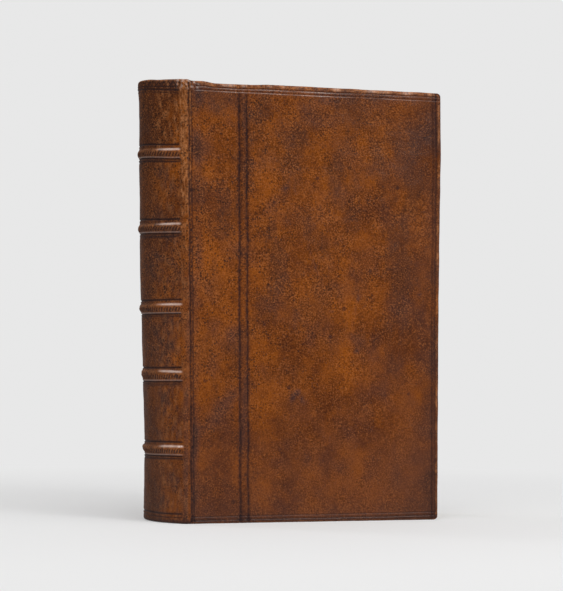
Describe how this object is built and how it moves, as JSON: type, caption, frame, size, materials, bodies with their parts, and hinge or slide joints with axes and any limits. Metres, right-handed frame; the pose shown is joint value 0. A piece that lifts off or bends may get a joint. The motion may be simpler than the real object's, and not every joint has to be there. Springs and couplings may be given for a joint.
{
  "type": "antique leather book",
  "caption": "Upright book in worn sprinkled calf over boards, with raised bands, blind-ruled covers that open at the joints, and a rounded text block.",
  "frame": {"origin": "middle of the book's box on the surface that its tail stands on", "axes": "+Z from the tail up to the head, +X from the spine to the fore-edge, +Y from the front cover to the back cover"},
  "size_m": [0.1334, 0.05, 0.1986],
  "materials": {
    "calf_cover": "satin",
    "calf_spine": "satin",
    "leaves": "matte",
    "pastedown": "matte",
    "pasteboard": "matte",
    "hemp": "matte",
    "silk": "satin",
    "parchment": "matte"
  },
  "bodies": {
    "book_back": {"text_block": "leaves", "spine_leather": "calf_spine", "head_band": "silk", "head_band_core": "hemp", "tail_band": "silk", "tail_band_core": "hemp", "sewing_cord_1": "hemp", "sewing_cord_2": "hemp", "sewing_cord_3": "hemp", "sewing_cord_4": "hemp", "sewing_cord_5": "hemp", "spine_lining_1": "parchment", "spine_lining_2": "parchment", "spine_lining_3": "parchment", "spine_lining_4": "parchment", "spine_lining_5": "parchment", "spine_lining_6": "parchment"},
    "front_cover": {"front_board": "pasteboard", "front_leather": "calf_cover", "front_pastedown": "pastedown", "front_slip_1": "hemp", "front_slip_2": "hemp", "front_slip_3": "hemp", "front_slip_4": "hemp", "front_slip_5": "hemp"},
    "back_cover": {"back_board": "pasteboard", "back_leather": "calf_cover", "back_pastedown": "pastedown", "back_slip_1": "hemp", "back_slip_2": "hemp", "back_slip_3": "hemp", "back_slip_4": "hemp", "back_slip_5": "hemp"}
  },
  "joints": [
    {"name": "front_cover_hinge", "type": "hinge", "parent": "book_back", "child": "front_cover", "pos_m": [-0.05327, -0.0253, 0.098], "axis": [0, 0, -1], "range_deg": [0, 175]},
    {"name": "back_cover_hinge", "type": "hinge", "parent": "book_back", "child": "back_cover", "pos_m": [-0.05327, 0.0253, 0.098], "axis": [0, 0, 1], "range_deg": [0, 175]}
  ]
}
